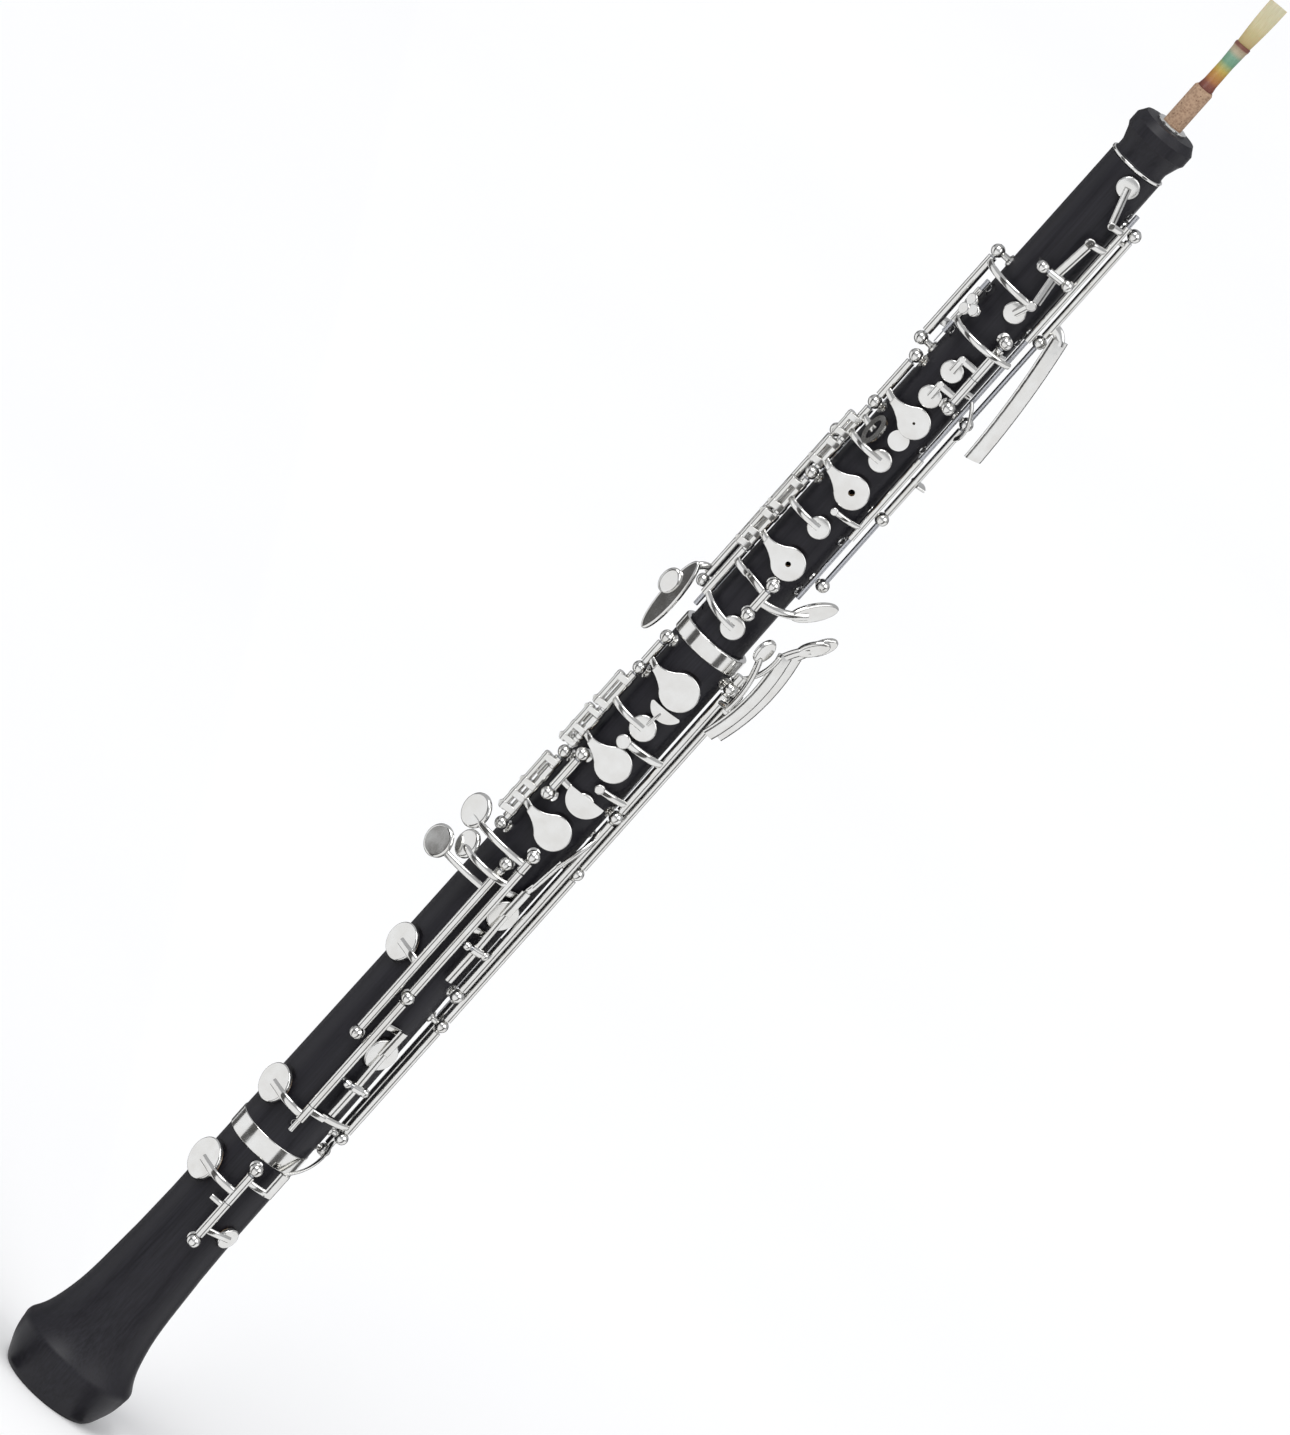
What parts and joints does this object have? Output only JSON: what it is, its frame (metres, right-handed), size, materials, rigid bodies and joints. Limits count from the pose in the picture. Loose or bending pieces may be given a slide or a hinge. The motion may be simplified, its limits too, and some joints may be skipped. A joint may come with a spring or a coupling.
{
  "type": "oboe",
  "caption": "Full oboe standing on its bell: turned black wood body in joints, silver-plated key system on posts and rods, and a wound double reed.",
  "frame": {"origin": "centre of the bell's rim, in the plane of the rim", "axes": "+Z along the bore towards the reed, -Y is the front with the finger plates, +X is the player's left-hand lever side"},
  "size_m": [0.0659, 0.0567, 0.6485],
  "materials": {
    "wood": "satin oiled black wood",
    "silver": "polished silver plate",
    "steel": "plain steel",
    "pad": "matte skin and cork",
    "cork": "matte cork",
    "thread": "waxed thread, several colours",
    "cane": "scraped cane"
  },
  "bodies": {
    "body": {"bell": "wood", "lower_joint": "wood", "upper_joint": "wood", "socket_rings": "silver", "crown_ring": "silver", "reed_socket": "silver", "tenon_corks": "cork", "posts": "silver", "hinge_rods": "steel", "needle_springs": "steel", "thumb_rest": "silver"},
    "reed": {"reed_staple": "silver", "reed_cork": "cork", "reed_thread": "thread", "reed_cane": "cane"},
    "bell_vent_key": {"bell_vent_key": "silver"},
    "b_flat_key": {"b_flat_key": "silver", "b_flat_pad": "pad"},
    "low_b_key": {"low_b_key": "silver", "low_b_pad": "pad"},
    "c_sharp_lever": {"c_sharp_lever": "silver"},
    "low_c_key": {"low_c_key": "silver", "low_c_pad": "pad"},
    "e_flat_lever": {"e_flat_lever": "silver"},
    "d_key": {"d_key": "silver", "d_pad": "pad"},
    "fork_f_key": {"fork_f_key": "silver"},
    "e_key": {"e_key": "silver", "e_pad": "pad"},
    "f_vent_key": {"f_vent_key": "silver"},
    "f_sharp_key": {"f_sharp_key": "silver", "f_sharp_pad": "pad"},
    "left_f_lever": {"left_f_lever": "silver"},
    "left_e_flat_lever": {"left_e_flat_lever": "silver"},
    "low_b_lever": {"low_b_lever": "silver"},
    "b_flat_lever": {"b_flat_lever": "silver"},
    "g_sharp_key": {"g_sharp_key": "silver"},
    "g_sharp_lever": {"g_sharp_lever": "silver"},
    "third_finger_key": {"third_finger_key": "silver", "third_finger_pad": "pad"},
    "b_vent_key": {"b_vent_key": "silver"},
    "second_finger_key": {"second_finger_key": "silver", "second_finger_pad": "pad"},
    "c_vent_key": {"c_vent_key": "silver"},
    "half_hole_key": {"half_hole_key": "silver", "half_hole_pad": "pad"},
    "balance_lever": {"balance_lever": "silver"},
    "trill_lever": {"trill_lever": "silver"},
    "c_trill_key": {"c_trill_key": "silver"},
    "left_trill_lever": {"left_trill_lever": "silver"},
    "d_trill_key": {"d_trill_key": "silver"},
    "right_trill_key": {"right_trill_key": "silver"},
    "thumb_octave_key": {"thumb_octave_key": "silver"},
    "side_octave_lever": {"side_octave_lever": "silver"},
    "second_octave_key": {"second_octave_key": "silver"},
    "c_sharp_key": {"c_sharp_key": "silver", "c_sharp_pad": "pad"},
    "e_flat_key": {"e_flat_key": "silver", "e_flat_pad": "pad"},
    "octave_link": {"octave_link": "silver"}
  },
  "joints": [
    {"name": "reed_slide", "type": "slide", "parent": "body", "child": "reed", "axis": [0, 0, 1], "range_m": [0, 0.025]},
    {"name": "bell_vent_hinge", "type": "hinge", "parent": "body", "child": "bell_vent_key", "pos_m": [0, -0.018, 0.09], "axis": [0, 0, -1], "range_deg": [0, 5], "stiffness_Nm_per_rad": 0.01, "springref_deg": -20.05},
    {"name": "b_flat_hinge", "type": "hinge", "parent": "body", "child": "b_flat_key", "pos_m": [0, -0.018, 0.103], "axis": [0, 0, -1], "range_deg": [0, 5]},
    {"name": "low_b_hinge", "type": "hinge", "parent": "body", "child": "low_b_key", "pos_m": [-0.0003, -0.017, 0.139], "axis": [0, 0, -1], "range_deg": [0, 5]},
    {"name": "c_sharp_touch_hinge", "type": "hinge", "parent": "body", "child": "c_sharp_lever", "pos_m": [-0.0003, -0.017, 0.2], "axis": [0, 0, -1], "range_deg": [0, 9], "stiffness_Nm_per_rad": 0.01, "springref_deg": -20.05},
    {"name": "low_c_hinge", "type": "hinge", "parent": "body", "child": "low_c_key", "pos_m": [-0.00553, -0.01607, 0.21], "axis": [0, 0, -1], "range_deg": [0, 5.5], "stiffness_Nm_per_rad": 0.01, "springref_deg": -20.05},
    {"name": "e_flat_touch_hinge", "type": "hinge", "parent": "body", "child": "e_flat_lever", "pos_m": [-0.0003, -0.017, 0.225], "axis": [0, 0, -1], "range_deg": [0, 3.2], "stiffness_Nm_per_rad": 0.01, "springref_deg": -20.05},
    {"name": "d_hinge", "type": "hinge", "parent": "body", "child": "d_key", "pos_m": [-0.01452, -0.0074, 0.275], "axis": [0, 0, 1], "range_deg": [0, 4.5], "stiffness_Nm_per_rad": 0.01, "springref_deg": -20.05},
    {"name": "fork_f_hinge", "type": "hinge", "parent": "body", "child": "fork_f_key", "pos_m": [-0.01057, -0.01306, 0.289], "axis": [0, 0, -1], "range_deg": [0, 4], "stiffness_Nm_per_rad": 0.01, "springref_deg": -20.05},
    {"name": "e_hinge", "type": "hinge", "parent": "body", "child": "e_key", "pos_m": [-0.01452, -0.0074, 0.305], "axis": [0, 0, 1], "range_deg": [0, 4.5], "stiffness_Nm_per_rad": 0.01, "springref_deg": -20.05},
    {"name": "f_vent_hinge", "type": "hinge", "parent": "body", "child": "f_vent_key", "pos_m": [-0.01452, -0.0074, 0.321], "axis": [0, 0, 1], "range_deg": [0, 4]},
    {"name": "f_sharp_hinge", "type": "hinge", "parent": "body", "child": "f_sharp_key", "pos_m": [-0.01452, -0.0074, 0.34], "axis": [0, 0, 1], "range_deg": [0, 4.5], "stiffness_Nm_per_rad": 0.01, "springref_deg": -20.05},
    {"name": "left_f_touch_hinge", "type": "hinge", "parent": "body", "child": "left_f_lever", "pos_m": [0.01368, -0.00923, 0.318], "axis": [0, 0, -1], "range_deg": [0, 2.5], "stiffness_Nm_per_rad": 0.01, "springref_deg": -20.05},
    {"name": "left_e_flat_touch_hinge", "type": "hinge", "parent": "body", "child": "left_e_flat_lever", "pos_m": [0.01368, -0.00923, 0.245], "axis": [0, 0, 1], "range_deg": [0, 2], "stiffness_Nm_per_rad": 0.01, "springref_deg": -20.05},
    {"name": "low_b_touch_hinge", "type": "hinge", "parent": "body", "child": "low_b_lever", "pos_m": [0.01783, -0.00412, 0.24], "axis": [0, 0, 1], "range_deg": [0, 2.25], "stiffness_Nm_per_rad": 0.01, "springref_deg": -20.05},
    {"name": "b_flat_touch_hinge", "type": "hinge", "parent": "body", "child": "b_flat_lever", "pos_m": [0.01738, 0.00275, 0.24], "axis": [0, 0, 1], "range_deg": [0, 2.75], "stiffness_Nm_per_rad": 0.01, "springref_deg": -20.05},
    {"name": "g_sharp_hinge", "type": "hinge", "parent": "body", "child": "g_sharp_key", "pos_m": [-0.01393, -0.00322, 0.377], "axis": [0, 0, -1], "range_deg": [0, 4]},
    {"name": "g_sharp_touch_hinge", "type": "hinge", "parent": "body", "child": "g_sharp_lever", "pos_m": [-0.00025, -0.0146, 0.38], "axis": [0, 0, 1], "range_deg": [0, 4], "stiffness_Nm_per_rad": 0.01, "springref_deg": -20.05},
    {"name": "third_finger_hinge", "type": "hinge", "parent": "body", "child": "third_finger_key", "pos_m": [-0.01393, -0.00322, 0.396], "axis": [0, 0, 1], "range_deg": [0, 4.5], "stiffness_Nm_per_rad": 0.01, "springref_deg": -20.05},
    {"name": "b_vent_hinge", "type": "hinge", "parent": "body", "child": "b_vent_key", "pos_m": [-0.01393, -0.00322, 0.412], "axis": [0, 0, 1], "range_deg": [0, 4]},
    {"name": "second_finger_hinge", "type": "hinge", "parent": "body", "child": "second_finger_key", "pos_m": [-0.01393, -0.00322, 0.432], "axis": [0, 0, 1], "range_deg": [0, 4.5], "stiffness_Nm_per_rad": 0.01, "springref_deg": -20.05},
    {"name": "c_vent_hinge", "type": "hinge", "parent": "body", "child": "c_vent_key", "pos_m": [-0.01393, -0.00322, 0.445], "axis": [0, 0, 1], "range_deg": [0, 4]},
    {"name": "half_hole_hinge", "type": "hinge", "parent": "body", "child": "half_hole_key", "pos_m": [-0.01393, -0.00322, 0.466], "axis": [0, 0, 1], "range_deg": [0, 3.5], "stiffness_Nm_per_rad": 0.01, "springref_deg": -20.05},
    {"name": "balance_touch_hinge", "type": "hinge", "parent": "body", "child": "balance_lever", "pos_m": [0.01011, -0.00879, 0.433], "axis": [0, 0, -1], "range_deg": [0, 4], "stiffness_Nm_per_rad": 0.01, "springref_deg": -20.05},
    {"name": "trill_touch_hinge", "type": "hinge", "parent": "body", "child": "trill_lever", "pos_m": [0.01446, -0.00584, 0.448], "axis": [0, 0, -1], "range_deg": [0, 2.75], "stiffness_Nm_per_rad": 0.01, "springref_deg": -20.05},
    {"name": "c_trill_hinge", "type": "hinge", "parent": "body", "child": "c_trill_key", "pos_m": [0.00418, -0.01368, 0.48], "axis": [0, 0, 1], "range_deg": [0, 5]},
    {"name": "left_trill_touch_hinge", "type": "hinge", "parent": "body", "child": "left_trill_lever", "pos_m": [-0.01269, -0.00462, 0.502], "axis": [0, 0, 1], "range_deg": [0, 1.8], "stiffness_Nm_per_rad": 0.01, "springref_deg": -20.05},
    {"name": "d_trill_hinge", "type": "hinge", "parent": "body", "child": "d_trill_key", "pos_m": [0.00418, -0.01368, 0.492], "axis": [0, 0, 1], "range_deg": [0, 5]},
    {"name": "right_trill_hinge", "type": "hinge", "parent": "body", "child": "right_trill_key", "pos_m": [-0.01568, 0.00479, 0.403], "axis": [0, 0, 1], "range_deg": [0, 5], "stiffness_Nm_per_rad": 0.01, "springref_deg": -20.05},
    {"name": "thumb_octave_hinge", "type": "hinge", "parent": "body", "child": "thumb_octave_key", "pos_m": [-0.01584, 0.00139, 0.502], "axis": [0, 0, -1], "range_deg": [0, 4], "stiffness_Nm_per_rad": 0.01, "springref_deg": -20.05},
    {"name": "side_octave_touch_hinge", "type": "hinge", "parent": "body", "child": "side_octave_lever", "pos_m": [0.01446, -0.00584, 0.532], "axis": [0, 0, 1], "range_deg": [0, 4], "stiffness_Nm_per_rad": 0.01, "springref_deg": -20.05},
    {"name": "second_octave_hinge", "type": "hinge", "parent": "body", "child": "second_octave_key", "pos_m": [0.01011, -0.00879, 0.532], "axis": [0, 0, 1], "range_deg": [0, 4.2]},
    {"name": "c_sharp_hinge", "type": "hinge", "parent": "body", "child": "c_sharp_key", "pos_m": [0.0077, -0.01448, 0.1565], "axis": [0.8829, 0.4695, 0], "range_deg": [0, 3.2]},
    {"name": "e_flat_hinge", "type": "hinge", "parent": "body", "child": "e_flat_key", "pos_m": [0.00701, -0.01438, 0.221], "axis": [0.8988, 0.4384, 0], "range_deg": [0, 5]},
    {"name": "octave_link_hinge", "type": "hinge", "parent": "body", "child": "octave_link", "pos_m": [0.00109, -0.01556, 0.531], "axis": [0.9976, 0.0698, 0], "range_deg": [0, 2.5]}
  ],
  "couplings": [
    {"joint": "b_flat_hinge", "follows": "b_flat_touch_hinge", "ratio": 1.8},
    {"joint": "low_b_hinge", "follows": "low_b_touch_hinge", "ratio": 2.2},
    {"joint": "f_vent_hinge", "follows": "f_sharp_hinge", "ratio": 0.88889},
    {"joint": "g_sharp_hinge", "follows": "g_sharp_touch_hinge", "ratio": 1},
    {"joint": "b_vent_hinge", "follows": "third_finger_hinge", "ratio": 0.88889},
    {"joint": "c_vent_hinge", "follows": "second_finger_hinge", "ratio": 0.88889},
    {"joint": "c_trill_hinge", "follows": "trill_touch_hinge", "ratio": 1.78},
    {"joint": "d_trill_hinge", "follows": "left_trill_touch_hinge", "ratio": 2.6},
    {"joint": "second_octave_hinge", "follows": "side_octave_touch_hinge", "ratio": 1},
    {"joint": "c_sharp_hinge", "follows": "c_sharp_touch_hinge", "ratio": 0.355},
    {"joint": "e_flat_hinge", "follows": "e_flat_touch_hinge", "ratio": 1.56},
    {"joint": "octave_link_hinge", "follows": "side_octave_touch_hinge", "ratio": 0.6}
  ]
}
